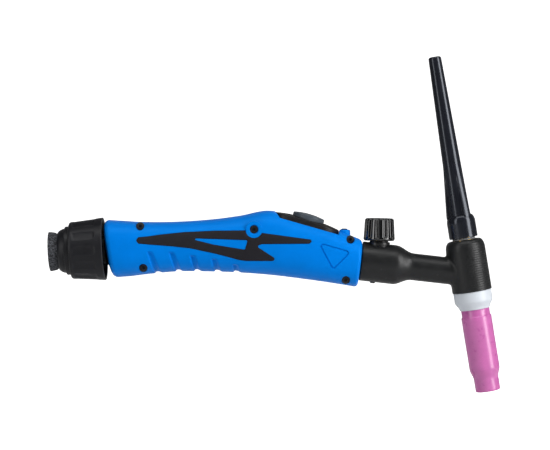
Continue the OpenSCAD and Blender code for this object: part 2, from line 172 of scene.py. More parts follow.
def grid_faces(rows, columns, wrap_rows=False, wrap_columns=True):
    """Quads of a grid of points stored row by row."""
    i = np.arange(rows if wrap_rows else rows - 1)[:, None]
    j = np.arange(columns if wrap_columns else columns - 1)[None, :]
    a = i * columns + j
    b = i * columns + (j + 1) % columns
    c = ((i + 1) % rows) * columns + (j + 1) % columns
    d = ((i + 1) % rows) * columns + j
    return np.stack([a + 0 * j, b + 0 * i, c, d], -1).reshape(-1, 4)


def soften(outline, radius, steps=4):
    """Rounds a closed outline's corners with arcs of the given radius, as far as its sides allow."""
    pts = [np.array(p, float) for p in outline]
    result = []
    for p, before, after in zip(pts, pts[-1:] + pts[:-1], pts[1:] + pts[:1]):
        a, b = before - p, after - p
        la, lb = np.linalg.norm(a), np.linalg.norm(b)
        if la < 1e-9 or lb < 1e-9:
            continue
        a, b = a / la, b / lb
        inner = math.acos(max(-1, min(1, float(a @ b))))
        if inner > math.radians(168):
            result.append(p)
            continue
        reach = min(radius / math.tan(inner / 2), 0.45 * la, 0.45 * lb)
        r = reach * math.tan(inner / 2)
        centre = p + (a + b) / np.linalg.norm(a + b) * r / math.sin(inner / 2)
        start, end = p + a * reach - centre, p + b * reach - centre
        for k in range(steps + 1):
            v = start * (1 - k / steps) + end * (k / steps)
            result.append(centre + v / np.linalg.norm(v) * r)
    return np.array(result)


def turned(name, outline, node, where, around, soft=0.0, shape=None, loop=True):
    """Revolves an outline of (radius, height) about the local Z axis.

    soft rounds the outline's corners, shape(radius, height, angle) may change the radius, and
    loop joins the outline's last point to its first.
    """
    pts = soften(outline, soft) if soft else np.array(outline, float)
    angle = np.linspace(0, TAU, around, endpoint=False)
    r = np.repeat(pts[:, :1], around, 1)
    z = np.repeat(pts[:, 1:], around, 1)
    if shape:
        r = shape(r, z, angle[None, :] + 0 * r)
    ring = np.stack([r * np.cos(angle), r * np.sin(angle), z], -1).reshape(-1, 3)
    return make(name, ring, grid_faces(len(pts), around, wrap_rows=loop), node, where)


def crown(r, z, dr, dz, steps=8):
    """Quarter ellipse from (r, z) that turns in by dr while it goes on by dz."""
    return [(r - dr + dr * math.cos(a), z + dz * math.sin(a))
            for a in (t * math.pi / 2 / steps for t in range(steps + 1))]


def ogee(r0, z0, r1, z1, steps=12):
    """S-shaped change of radius from r0 at z0 to r1 at z1."""
    return [(r0 + (r1 - r0) * (1 - math.cos(math.pi * t / steps)) / 2,
             z0 + (z1 - z0) * t / steps) for t in range(steps + 1)]


def step(x, low, high):
    """Smooth step from 0 at low to 1 at high."""
    t = np.clip((x - low) / (high - low), 0, 1)
    return t * t * (3 - 2 * t)


def apply_modifiers(piece):
    """Turns a piece's modifiers into its mesh."""
    bpy.context.view_layer.update()
    graph = bpy.context.evaluated_depsgraph_get()
    mesh = bpy.data.meshes.new_from_object(piece.evaluated_get(graph), depsgraph=graph)
    old = piece.data
    piece.modifiers.clear()
    piece.data = mesh
    bpy.data.meshes.remove(old)


def cut_with(piece, cutters, keep="DIFFERENCE"):
    """Cuts closed solids out of a piece, or joins or intersects them, and removes the solids."""
    for cutter in cutters:
        change = piece.modifiers.new("cut", "BOOLEAN")
        change.operation = keep
        change.solver = "MANIFOLD"
        change.object = cutter
    apply_modifiers(piece)
    drop_slivers(piece.data)
    for cutter in cutters:
        mesh = cutter.data
        bpy.data.objects.remove(cutter)
        bpy.data.meshes.remove(mesh)
    return piece


def drop_slivers(mesh):
    """Merges the nearly equal points that a cut leaves, and deletes the loose crumbs of a few faces."""
    bm = bmesh.new()
    bm.from_mesh(mesh)
    merge_points(bm, CUT_GAP)
    left = set(bm.faces)
    crumbs = []
    while left:
        island = [left.pop()]
        for face in island:
            near = {other for edge in face.edges for other in edge.link_faces} & left
            left -= near
            island.extend(near)
        if len(island) < CRUMB_FACES:
            crumbs += island
    bmesh.ops.delete(bm, geom=crumbs, context="FACES")
    bm.to_mesh(mesh)
    bm.free()


def spun(outline, where, around=64):
    """A solid that cuts or is added, from a (radius, height) outline that starts and ends on the axis."""
    return turned("cutter", outline, None, where, around, loop=False)


def cone(r0, z0, r1, z1, where, around=64):
    return spun([(0, z0), (r0, z0), (r1, z1), (0, z1)], where, around)


def rod(r, z0, z1, where):
    return cone(r, z0, r, z1, where, around=48)


def ball(r, centre):
    profile = [(r * math.cos(a), r * math.sin(a)) for a in np.linspace(-math.pi / 2, math.pi / 2, 36)]
    profile[0], profile[-1] = (0.0, -r), (0.0, r)
    return spun(profile, at(centre), around=72)


def prism(outline, y0, y1, where=WORLD):
    """A closed solid from an (x, z) outline between two values of y, used as a cutter."""
    count = len(outline)
    points = [(x, y, z) for y in (y0, y1) for x, z in outline]
    faces = [list(range(count)), list(range(2 * count - 1, count - 1, -1))]
    faces += [[i, (i + 1) % count, count + (i + 1) % count, count + i] for i in range(count)]
    return make("cutter", points, faces, None, where)


# ---------------------------------------------------------------- materials

class Nodes:
    """Short way to build a material's node tree."""

    def __init__(self, name):
        self.material = bpy.data.materials.new(name)
        self.material.use_nodes = True
        self.tree = self.material.node_tree
        self.shader = self.tree.nodes["Principled BSDF"]
        self.place = self.add("ShaderNodeTexCoord").outputs["Object"]

    def add(self, kind, **values):
        node = self.tree.nodes.new(kind)
        for key, value in values.items():
            if key in node.inputs:
                node.inputs[key].default_value = value
            else:
                setattr(node, key, value)
        return node

    def put(self, value, socket):
        """Sets a socket to a number or a colour, or links an output to it."""
        if isinstance(value, bpy.types.NodeSocket):
            self.tree.links.new(value, socket)
        elif socket.type == "RGBA":
            socket.default_value = (*value, 1)
        else:
            socket.default_value = value

    def finish(self, values):
        """Sets the shader's inputs by name."""
        for name, value in values.items():
            self.put(value, self.shader.inputs[name])
        return self.material

    def noise(self, size_mm, detail=3.0, rough=0.55, stretch=None):
        node = self.add("ShaderNodeTexNoise", Scale=1 / (size_mm * MM), Detail=detail, Roughness=rough)
        source = self.place
        if stretch:
            mapping = self.add("ShaderNodeMapping", Scale=stretch)
            self.put(source, mapping.inputs["Vector"])
            source = mapping.outputs["Vector"]
        self.put(source, node.inputs["Vector"])
        return node.outputs["Fac"]

    def spread(self, value, low, high, at=(0.3, 0.7)):
        node = self.add("ShaderNodeMapRange")
        node.inputs["From Min"].default_value, node.inputs["From Max"].default_value = at
        node.inputs["To Min"].default_value, node.inputs["To Max"].default_value = low, high
        self.put(value, node.inputs["Value"])
        return node.outputs["Result"]

    def math(self, operation, a, b):
        node = self.add("ShaderNodeMath", operation=operation)
        self.put(a, node.inputs[0])
        self.put(b, node.inputs[1])
        return node.outputs[0]

    def mix(self, factor, a, b):
        node = self.add("ShaderNodeMix", data_type="RGBA")
        for value, socket in ((factor, 0), (a, 6), (b, 7)):
            self.put(value, node.inputs[socket])
        return node.outputs[2]

    def bump(self, heights):
        """The normal that follows from a list of (height output, depth in mm)."""
        normal = None
        for height, depth in heights:
            node = self.add("ShaderNodeBump", Strength=1.0, Distance=depth * MM)
            self.put(height, node.inputs["Height"])
            if normal:
                self.put(normal, node.inputs["Normal"])
            normal = node.outputs["Normal"]
        return normal

    def edge(self, low=0.505, high=0.56):
        """1 on convex edges, 0 elsewhere."""
        return self.spread(self.add("ShaderNodeNewGeometry").outputs["Pointiness"], 0.0, 1.0, (low, high))


RING_PITCH = 1.3 * MM
RINGS_FADE = (-4 * MM, 2 * MM)     # x where the head's rings are gone, and where they are full


def head_rings(n):
    """Height of fine moulded rings round the head, which fade out towards the neck."""
    along = n.add("ShaderNodeVectorMath", operation="DOT_PRODUCT")
    n.put(n.place, along.inputs[0])
    along.inputs[1].default_value = HEAD[0][:, 2]
    wave = n.math("SINE", n.math("MULTIPLY", along.outputs["Value"], TAU / RING_PITCH), 0)
    split = n.add("ShaderNodeSeparateXYZ")
    n.put(n.place, split.inputs[0])
    return n.math("MULTIPLY", wave, n.spread(split.outputs["X"], 0.0, 1.0, RINGS_FADE))


def tone(colour, factor):
    return tuple(min(1.0, c * factor) for c in colour)


def moulded(name, colour, rough, grain_mm=0.35, grain_depth=0.02, vary=0.12, wear=0.15,
            rough_vary=0.08, metallic=0.0, streak=None, specular=0.5, tint=(1, 1, 1), rings=False):
    """A moulded, cast or machined surface with blotches, fine grain and worn edges."""
    n = Nodes(name)
    blotch = n.noise(9, 4)
    fine = n.noise(grain_mm, 2, stretch=streak)
    base = n.mix(n.spread(blotch, 0, 1), tone(colour, 1 - vary), tone(colour, 1 + vary))
    base = n.mix(n.math("MULTIPLY", n.spread(fine, 0, 1), 0.25), base, tone(colour, 1 + 2 * vary))
    worn = tone([c * 0.6 + 0.10 for c in colour], 1.6)
    base = n.mix(n.math("MULTIPLY", n.edge(), wear), base, worn)
    smudge = n.noise(4, 5, 0.6)
    heights = [(fine, grain_depth), (blotch, grain_depth * 1.5)]
    return n.finish({
        "Base Color": base,
        "Roughness": n.spread(smudge, rough - rough_vary, rough + rough_vary),
        "Metallic": metallic, "Specular IOR Level": specular, "Specular Tint": tint,
        "Normal": n.bump(heights + [(head_rings(n), 0.05)] if rings else heights)})


def woven(name, colour):
    """Nylon yarn: sheen, filaments along the threads, pale and dark threads mixed, and painted highlights on the
    yarn crests.
    """
    n = Nodes(name)
    thread = n.noise(0.9, 2)
    filament = n.noise(0.22, 2, stretch=(1, 3, 3))
    base = n.mix(n.spread(thread, 0, 1, (0.4, 0.62)), tone(colour, 0.35), tone(colour, 4.5))
    # painted highlight: the convex yarn crests are lightened in the base colour
    base = n.mix(n.math("MULTIPLY", n.edge(0.5, 0.58), 0.5), base, tone(colour, 3.6))
    return n.finish({
        "Base Color": base, "Roughness": n.spread(filament, 0.6, 0.9), "Specular IOR Level": 0.25,
        "Sheen Weight": 0.10, "Sheen Roughness": 0.4,
        "Normal": n.bump([(filament, 0.08), (thread, 0.05)])})


def ceramic(name, colour):
    """Fired alumina: slightly translucent, satin, with pale specks and a fine orange peel."""
    n = Nodes(name)
    cloud = n.noise(6, 4)
    speck = n.spread(n.noise(0.5, 1), 0, 1, (0.62, 0.72))
    base = n.mix(n.spread(cloud, 0, 1), tone(colour, 0.94), tone(colour, 1.06))
    base = n.mix(n.math("MULTIPLY", speck, 0.35), base, tone(colour, 1.35))
    return n.finish({
        "Base Color": base, "Roughness": n.spread(cloud, 0.26, 0.36),
        "Subsurface Weight": 0.25, "Subsurface Radius": (1.0, 0.5, 0.7), "Subsurface Scale": 1.2 * MM,
        "Coat Weight": 0.25, "Coat Roughness": 0.18, "Normal": n.bump([(n.noise(0.9, 3), 0.02)])})


def build_materials():
    """The finish of each material slot. Most are moulded: colour, roughness, grain size and depth in mm."""
    c = COLOURS
    return {
        "handle_plastic": moulded("blue_nylon", (0.0, 0.172, 0.645), 0.42, 0.28, 0.012, 0.05, 0.0, 0.05,
                                  specular=0.32, tint=(0.03, 0.50, 1.0)),
        "inlay_rubber": moulded("soft_grip", (0.009, 0.0085, 0.012), 0.66, 0.22, 0.03, 0.12, 0.05,
                                specular=0.20),
        "body_rubber": moulded("body_silicone", (0.0085, 0.009, 0.0095), 0.38, 0.5, 0.02, 0.12, 0.05, 0.07,
                               specular=0.30, rings=True),
        "cap_phenolic": moulded("cap_phenolic", (0.009, 0.010, 0.014), 0.19, 1.6, 0.004, 0.15, 0.05, 0.03,
                                specular=0.42, tint=(0.85, 0.9, 1.0)),
        "knob_plastic": moulded("knob_nylon", (0.003, 0.0034, 0.0038), 0.09, 0.9, 0.006, 0.15, 0.05, 0.04,
                                specular=0.7),
        "nut_plastic": moulded("nut_nylon", (0.006, 0.0063, 0.0085), 0.42, 0.3, 0.02, 0.14, 0.12, 0.08,
                               specular=0.25),
        "pad_plastic": moulded("pad_nylon", (0.006, 0.0055, 0.0065), 0.42, 0.25, 0.02, 0.12, 0.05,
                               specular=0.22),
        "button_plastic": moulded("button_grey", (0.052, 0.065, 0.081), 0.38, 0.3, 0.010, 0.06, 0.04,
                                  specular=0.25),
        "plunger_plastic": moulded("plunger_red", c["plunger_plastic"], 0.3),
        "liner_plastic": moulded("liner_acetal", c["liner_plastic"], 0.35),
        "gasket_ptfe": moulded("gasket_ptfe", (0.56, 0.595, 0.64), 0.38, 0.7, 0.012, 0.03, 0.0, 0.05,
                               streak=(1, 1, 4)),
        "nozzle_ceramic": ceramic("nozzle_alumina", (0.51, 0.125, 0.365)),
        "brass": moulded("machined_brass", (0.72, 0.48, 0.19), 0.28, 0.25, 0.01, 0.08, 0.1,
                         metallic=1.0, streak=(1, 1, 6)),
        "copper": moulded("drawn_copper", (0.78, 0.38, 0.22), 0.30, 0.25, 0.01, 0.10, 0.1,
                          metallic=1.0, streak=(1, 1, 5)),
        "steel": moulded("plated_steel", (0.55, 0.55, 0.56), 0.30, 0.3, 0.01, 0.06, 0.1, metallic=1.0),
        "screw_steel": moulded("black_screw", (0.006, 0.006, 0.0065), 0.35, 0.3, 0.01, 0.2, 0.15,
                               specular=0.3),
        "seal_rubber": moulded("nitrile_seal", (0.018, 0.018, 0.018), 0.5),
        "seal_light": moulded("clear_seal", (0.30, 0.31, 0.32), 0.3, 0.5, 0.01, 0.05, 0.0),
        "jacket_fabric": woven("woven_jacket", (0.021, 0.022, 0.025)),
        "hose_rubber": moulded("hose_rubber", (0.026, 0.026, 0.028), 0.55, 0.5, 0.03),
    }


MATERIALS = build_materials()
GLAND_BLACK = moulded("blackened_gland", (0.007, 0.007, 0.0075), 0.32, 0.4, 0.01, 0.1, 0.1, specular=0.4)


def finish_piece(piece, node):
    """Gives a piece its slot's material and hides the CAD node that it stands for."""
    piece.data.materials.clear()
    piece.data.materials.append(GLAND_BLACK if node == "valve_gland" else MATERIALS[SLOT_OF[node]])
    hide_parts(node)


# ---------------------------------------------------------------- head, cap and nozzle

def head_heights(node):
    """A node's lowest and highest place along the head's axis, and its radius."""
    low, high = local_box(node, HEAD)
    return low[2], high[2], high[1]


def build_gasket():
    low, high, r = head_heights("cup_gasket")
    bore = 6.3
    outline = [(bore, high), (r - 0.02, high), (r, high - 0.6)]
    outline += ogee(r, high - 5.3, 8.8, low + 0.25, 16)
    outline += [(8.62, low + 0.02), (8.3, low), (bore, low)]
    ring = lambda rr, z, a: rr + 0.012 * np.sin(z * 9.0) * (rr > 7)
    finish_piece(turned("cup_gasket_ring", outline, "cup_gasket", HEAD, 160, 0.25, ring), "cup_gasket")


def build_nozzle():
    """The ceramic nozzle, with a slightly uneven fired surface and a softly rounded mouth."""
    low, high, r = head_heights("nozzle")
    tip_r = 7.15
    bore = 5.55
    body = [(6.25, high), (8.05, high), (8.15, high - 0.25), (8.15, high - 3.7), (8.28, high - 3.95)]
    body += [(r - 0.12, high - 4.3), (r, high - 4.7)]
    body += [(r, z) for z in np.linspace(high - 7, low + 15, 12)]
    body += ogee(r, low + 13.5, tip_r, low + 7.0, 18)
    body += [(tip_r, z) for z in np.linspace(low + 5.5, low + 1.4, 5)]
    body += [(p[0], low + 0.8 - p[1]) for p in crown(tip_r, 0, 0.75, 0.8, 7)]
    body += [(bore + 0.35, low), (bore, low + 0.4)]
    body += [(bore, z) for z in np.linspace(low + 6, -34.2, 6)]
    body += [(6.25, -33.5)]

    def fired(rr, z, a):
        ripple = 0.018 * np.sin(3 * a + z * 0.21) + 0.012 * np.sin(2 * a - z * 0.6 + 1.1)
        return rr + ripple * (rr > 6.6)

    finish_piece(turned("nozzle_cup", body, "nozzle", HEAD, 160, shape=fired), "nozzle")


def build_cap_seal():
    low, high = local_box("back_cap_oring", HEAD)
    mid, half = (low[2] + high[2]) / 2, (high[2] - low[2]) / 2
    big = high[1] - half - 1.1
    outline = [(big + half * math.cos(t), mid + half * math.sin(t)) for t in np.linspace(0, TAU, 20, False)]
    finish_piece(turned("back_cap_seal", outline, "back_cap_oring", HEAD, 128), "back_cap_oring")


def build_cap():
    """The long cap: collar, three ribs that fade into the cone, and a rounded tip."""
    low, high, _ = head_heights("back_cap")
    cad_points = np.array([v.co for v in frame["nodes"]["back_cap"].data.vertices], float) / MM @ HEAD[0]
    collar = cad_points[np.abs(cad_points[:, 2] - low) < 0.5][:, :2]
    collar_r = np.linalg.norm(collar, axis=1).max()
    collar_top, dome_top = low + 8.55, low + 13.15
    neck_r, tip_r, flare = 6.0, 3.7, 7.9
    inner = [(0.0, low + 8.4), (4.55, low + 8.4), (4.55, low)]
    outer = [(collar_r - 0.25, low), (collar_r, low + 0.25)]
    outer += [(collar_r, z) for z in np.linspace(low + 1.2, collar_top - 0.3, 10)]
    outer += crown(collar_r, collar_top, collar_r - neck_r, dome_top - collar_top, 26)
    cone = np.linspace(0, 1, 150)[1:]
    outer += [(neck_r + (tip_r - neck_r) * t, dome_top + (high - 1.2 - dome_top) * t) for t in cone]
    outer += crown(tip_r, high - 1.2, 1.2, 1.2, 8)[1:]
    outer += [(0.0, high)]
    rib_half, rib_count = 1.9, 3
    rib_top = dome_top + 27

    def ribs(rr, z, a):
        sector = a % (TAU / rib_count) - math.pi / rib_count
        across = np.abs(rr * np.sin(sector))
        side = 1 - step(across, rib_half - 0.35, rib_half + 0.35)
        rise = step(z, collar_top + 0.2, collar_top + 2.2)
        reach = flare + (neck_r - 1.0 - flare) * np.clip((z - dome_top) / (rib_top + 4 - dome_top), 0, 1)
        proud = np.clip(reach - rr, 0, None) * rise * side * (z < rib_top + 3)
        outside = (rr > 4.8) & (z > collar_top)
        return rr + proud * outside

    piece = turned("back_cap_body", inner + outer, "back_cap", HEAD, 288, shape=ribs)
    shoulder = crown(collar_r, collar_top, collar_r - neck_r, dome_top - collar_top, 26)
    gap_r = 6.35           # the gap under each rib ends at this radius
    under = [(collar_r + 1.5, collar_top - 0.4)] + [(r, z + 0.03) for r, z in shoulder if r > gap_r]
    over = [(r, z + 0.25 + 0.40 * (r - gap_r)) for r, z in under[::-1]]
    cut_with(piece, [turned("cutter", under + over, None, HEAD, 96)])
    shade(piece.data, 35)
    finish_piece(piece, "back_cap")


# ---------------------------------------------------------------- rubber-covered body

VOXEL = 0.36 * MM
SMOOTH_PASSES, JOIN_ONLY_FROM = 26, 6


def build_cover():
    """The moulded rubber body, with fillets where the tube meets the head and the valve block."""
    body = add_piece("body_cover_rubber", frame["nodes"]["body_cover"].data.copy(), "body_cover")
    change = body.modifiers.new("voxels", "REMESH")
    change.mode = "VOXEL"
    change.voxel_size = VOXEL
    change.use_smooth_shade = True
    apply_modifiers(body)
    round_inner_corners(body.data)
    finish_piece(body, "body_cover")


def round_inner_corners(mesh):
    """Smooths the remeshed body, most where the tube runs into the head."""
    co = np.empty(len(mesh.vertices) * 3)
    mesh.vertices.foreach_get("co", co)
    co = co.reshape(-1, 3)
    edges = np.empty(len(mesh.edges) * 2, dtype=np.int64)
    mesh.edges.foreach_get("vertices", edges)
    a, b = edges.reshape(-1, 2).T
    degree = np.bincount(np.concatenate([a, b]), minlength=len(co)).astype(float)[:, None]
    head = (co / MM) @ HEAD[0]
    tube = (co / MM) @ TUBE[0]
    r_head = np.linalg.norm(head[:, :2], axis=1)
    join = np.exp(-((r_head - 11.6) / 2.2) ** 2) * (head[:, 2] > -9.2) * (tube[:, 2] < -4)
    weight = np.clip(0.12 + 0.8 * join, 0, 0.9)[:, None]
    seat = (head[:, 2] < -9.9) & (tube[:, 2] > -13)       # the face that the gasket stands on
    weight[seat] = 0.0
    for count in range(SMOOTH_PASSES):
        total = np.zeros_like(co)
        for axis in range(3):
            total[:, axis] = np.bincount(a, co[b, axis], len(co)) + np.bincount(b, co[a, axis], len(co))
        local = weight if count < JOIN_ONLY_FROM else weight * (join > 0.2)[:, None]
        co = co + (total / degree - co) * local
    mesh.vertices.foreach_set("co", co.ravel())
    mesh.update()


def build_gland():
    _, high = local_box("valve_gland", VALVE)
    top = high[2]
    outline = [(2.55, 3.1), (4.35, 3.1), (4.35, 7.6), (6.15, 7.6), (6.25, 7.75), (6.25, 9.55), (5.95, 9.75),
               (5.95, 10.0), (6.25, 10.2), (6.25, 11.8), (6.05, 12.0), (5.45, 12.02), (5.3, 12.15),
               (5.3, top - 0.15), (5.15, top), (2.7, top), (2.55, top - 0.15)]
    finish_piece(turned("valve_gland_rings", outline, "valve_gland", VALVE, 128, 0.08), "valve_gland")


def build_knob():
    """The valve's fluted knob, with a smooth skirt and a slightly dished top."""
    low, high = local_box("valve_knob", VALVE)
    z0, z1 = low[2], high[2]
    wall_r = high[1]
    flutes, phase = 12, math.radians(20)
    flute_depth, flute_half = 1.05, 1.15
    outer = [(wall_r - 0.5, z0), (wall_r - 0.05, z0 + 0.8)]
    outer += [(wall_r - 0.6 * t, z0 + 1.0 + (z1 - 1.5 - z0 - 1.0) * t) for t in np.linspace(0, 1, 52)]
    outer += crown(wall_r - 0.6, z1 - 1.5, 1.2, 1.45, 14)[1:]
    outer += [(7.2, z1 - 0.02), (6.9, z1), (6.5, z1 - 0.03), (6.25, z1 - 0.22), (6.1, z1 - 0.45)]
    outer += [(5.6, z1 - 0.55), (3.0, z1 - 0.55), (2.7, z1 - 0.45), (2.4, z1 - 0.4), (0.0, z1 - 0.4)]
    inner = [(0.0, z0 + 9.3), (1.95, z0 + 9.3), (1.95, z0 + 0.9), (2.55, z0 + 0.9), (2.55, z0)]

    def fluted(rr, z, a):
        sector = (a - phase + math.pi / flutes) % (TAU / flutes) - math.pi / flutes
        across = np.abs(sector) * wall_r
        round_floor = np.sqrt(np.clip(1 - (across / flute_half) ** 2, 0, 1))
        depth = flute_depth * round_floor * step(z, z0 + 1.3, z0 + 2.1)
        shoulder = 0.16 * (1 - step(across, 1.1, 1.75)) * step(z, z0 + 1.6, z0 + 2.2)
        return np.where((rr > 6.6) & (z > z0 + 0.9), rr - depth - shoulder, rr)

    piece = turned("valve_knob_cap", inner + outer, "valve_knob", VALVE, 432, shape=fluted)
    finish_piece(piece, "valve_knob")


def build_bleed_plug():
    across = place(np.cross(TUBE[0][:, 2], [0, 1, 0]))
    low, high = local_box("valve_plug", across)
    middle = [(low[0] + high[0]) / 2, 0, 0]
    where = (across[0], to_world([middle], across)[0])
    z, r = low[2], high[1]
    outline = [(0, z + 0.3), (0.7, z + 0.3), (0.8, z), (r - 0.3, z), (r, z + 0.3), (r, high[2]), (0, high[2])]
    finish_piece(turned("valve_plug_pin", outline, "valve_plug", where, 48, 0.05), "valve_plug")


# ---------------------------------------------------------------- handle's outside form

SHELL_LOW = np.array(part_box("shell_left")[0]) / MM
REAR = SHELL_LOW[0] + 5.18     # the rim of the rear dome, level with the middle of the section
# Key sections: distance from the rear rim, top z, bottom z, half width.
HANDLE_KEYS = np.array([
    (0, 30.6, -2.2, 15.8), (8.3, 30.1, -1.6, 15.6), (18.3, 29.5, -0.4, 15.0), (36.3, 29.6, 1.1, 14.0),
    (56.3, 30.9, 1.0, 14.0), (72.3, 33.0, 0.4, 14.6), (89.3, 36.0, -0.8, 15.3), (104.3, 31.9, -2.5, 15.4),
    (120.3, 27.2, -4.6, 15.0), (132.3, 22.7, -6.4, 14.5), (141.3, 19.1, -7.9, 13.9)])
HANDLE_LENGTH = HANDLE_KEYS[-1, 0]
SECTION_POWER = 2.6
REAR_LEAN, FRONT_LEAN = -0.16, 0.114
FRONT_ROUND = 2.0
REAR_DOME = np.array([(0, 0), (0.5, 0.1), (1, 0.3), (2, 1), (2.8, 2.6), (3.4, 5), (3.9, 8)])
SEAM = 0.05
# Each key's slopes run from the key behind it to the key in front of it.
_behind = HANDLE_KEYS[[0, *range(len(HANDLE_KEYS) - 1)]]
_ahead = HANDLE_KEYS[[*range(1, len(HANDLE_KEYS)), -1]]
KEY_SLOPES = (_ahead - _behind)[:, 1:] / (_ahead - _behind)[:, :1]


def section_sizes(along):
    """Top z, bottom z and half width at a distance from the rear rim, by a smooth cubic."""
    along = np.clip(np.asarray(along, float), 0, HANDLE_LENGTH)
    i = np.clip(np.searchsorted(HANDLE_KEYS[:, 0], along, "right") - 1, 0, len(HANDLE_KEYS) - 2)
    h = HANDLE_KEYS[i + 1, 0] - HANDLE_KEYS[i, 0]
    t = ((along - HANDLE_KEYS[i, 0]) / h)[..., None]
    h = h[..., None]
    return ((2 * t ** 3 - 3 * t ** 2 + 1) * HANDLE_KEYS[i, 1:] + (t ** 3 - 2 * t ** 2 + t) * h * KEY_SLOPES[i]
            + (3 * t ** 2 - 2 * t ** 3) * HANDLE_KEYS[i + 1, 1:] + (t ** 3 - t ** 2) * h * KEY_SLOPES[i + 1])


def section_lean(along):
    """How far a section's points move forward for each mm of height."""
    return REAR_LEAN + (FRONT_LEAN - REAR_LEAN) * np.clip(along, 0, HANDLE_LENGTH) / HANDLE_LENGTH


def spow(value, power):
    """A power that keeps the value's sign."""
    return np.sign(value) * np.abs(value) ** power


def form_points(along, inset, angle):
    """Points of the handle's form at distances along it, angles round the section, and insets."""
    sizes = section_sizes(along)
    top, bottom, width = sizes[..., 0], sizes[..., 1], sizes[..., 2]
    z = ((top - bottom) / 2 - inset) * spow(np.sin(angle), 2 / SECTION_POWER)
    y = (width - inset) * spow(np.maximum(np.cos(angle), 0), 2 / SECTION_POWER)
    x = REAR + along + section_lean(along) * z
    return np.stack([x, y, (top + bottom) / 2 + z], -1)


def side_of(x, z, inset=0.0):
    """Distance from the middle plane to the handle's side at (x, z)."""
    x, z = np.asarray(x, float), np.asarray(z, float)
    along = x - REAR
    for _ in range(5):
        sizes = section_sizes(along)
        lift = z - (sizes[..., 0] + sizes[..., 1]) / 2
        along = x - REAR - section_lean(along) * lift
    half = (sizes[..., 0] - sizes[..., 1]) / 2 - inset
    share = np.clip(np.abs(lift) / half, 0, 0.999)
    return (sizes[..., 2] - inset) * (1 - share ** SECTION_POWER) ** (1 / SECTION_POWER)


# Grip grooves: place along the handle of the upper and lower end, and height of the upper end.
GROOVE_DEPTH = 1.25
GROOVES = [(20.1, 24.0, 12.9), (32.3, 36.2, 12.6), (44.3, 46.8, 10.7), (56.6, 58.4, 8.7), (68.5, 69.1, 5.4)]


def groove_depth(x, z):
    """Depth of the finger grooves: a steep wall at the back of each, and a long slope in front."""
    depth = np.zeros_like(x)
    for upper, lower, height in GROOVES:
        drop = np.clip((height - z) / (height - 0.5), 0, 1.6)
        edge = REAR + upper + (lower - upper) * drop
        width = 3.6 + 0.9 * np.clip(drop, 0, 1)
        across = (x - edge) / width
        wall = step(across, -0.10, 0.14)
        slope = 1 - step(across, 0.38, 1.0)
        ends = step(height + 0.5 - z, 0, 2.0) * (0.35 + 0.65 * step(z, -3.5, 3.5))
        depth = np.maximum(depth, GROOVE_DEPTH * wall * slope * ends)
    return depth


def build_form(name, side, inset=0.0, detail=True, node=None):
    """Half of the handle's form as a closed solid: side is 1 for left (+Y) and -1 for right."""
    dome = np.interp(np.linspace(0, 1, 13 if detail else 5),
                     np.linspace(0, 1, len(REAR_DOME)), REAR_DOME[:, 0])
    rows = [(-d, np.interp(d, REAR_DOME[:, 0], REAR_DOME[:, 1])) for d in dome[::-1]]
    start, stop = 14.0, 76.0
    coarse, fine = (0.9, 0.36) if detail else (1.5, 1.5)
    front = HANDLE_LENGTH - FRONT_ROUND
    places = np.concatenate([np.arange(coarse, start, coarse), np.arange(start, stop, fine),
                             np.arange(stop, front, coarse)])
    rows += [(p, 0.0) for p in places]
    rows += [(front + FRONT_ROUND * math.sin(a), FRONT_ROUND * (1 - math.cos(a)))
             for a in np.linspace(0, math.pi / 2, 9 if detail else 4)]
    rows = np.array(rows)
    around = 150 if detail else 60
    t = np.linspace(-1, 1, around)
    angle = math.pi / 2 * (0.8 * t + 0.2 * t ** 3)
    along = np.repeat(rows[:, :1], around, 1)
    behind = np.minimum(along, 0)
    insets = np.repeat(rows[:, 1:], around, 1) + inset
    turn = angle[None, :] + 0 * along
    points = form_points(np.maximum(along, 0), insets, turn)
    points[..., 0] += behind
    if detail:
        carved = groove_depth(points[..., 0], points[..., 2]) * (points[..., 2] < 16)
        seam_bevel = 0.25 * (1 - step(points[..., 1], 0.0, 0.8))
        points = form_points(np.maximum(along, 0), insets + carved + seam_bevel, turn)
        points[..., 0] += behind
    points[..., 1] = side * np.maximum(points[..., 1], SEAM)
    count = len(rows)
    faces = grid_faces(count, around).tolist()
    faces += [list(range(around))[::-1], list(range((count - 1) * around, count * around))]
    return make(name, points.reshape(-1, 3), faces, node)


# ---------------------------------------------------------------- outlines on the handle's side

def along_x(points):
    """Outline points given as (distance from the rear rim, z) in frame x and z."""
    return [(REAR + p[0], p[1]) for p in points]


INLAY = soften(along_x([
    (15.1, 21.1), (20.7, 21.6), (27.5, 22.6), (34.3, 23.3), (41.1, 24), (47.9, 24.3), (58.1, 24.8),
    (77.5, 25), (85.4, 23.6), (113, 19.8), (113.7, 18.5), (112, 17.3), (85.3, 17.1), (82.3, 16),
    (92.6, 9.3), (92.3, 7.7), (91, 7.5), (76.2, 7.5), (71.6, 8.2), (64.9, 10.1), (58.1, 11.8), (44.5, 14.7),
    (34.3, 15.8), (20.7, 16.9), (15.1, 17.4), (13.9, 19.2)]), 1.1)
WINDOW = soften(along_x([
    (47.3, 19.6), (47.9, 20.3), (77.1, 19.3), (75.6, 14.1), (71.7, 14.7), (58.1, 16.9)]), 0.7)
TRIANGLE = soften(along_x([(117.0, 18.4), (136.0, 12.8), (125.6, 2.5)]), 1.5)
SCREWS = along_x([(16, 27.3), (17.9, 3.5), (80.8, 25.5), (135.7, 19.7), (133, -3.5)])
RING_SCREW = SCREWS[2]
RING_R = 4.8
RECESS_R = 2.45


def circle_points(centre, r, count=48):
    return [(centre[0] + r * math.cos(a), centre[1] + r * math.sin(a))
            for a in np.linspace(0, TAU, count, False)]


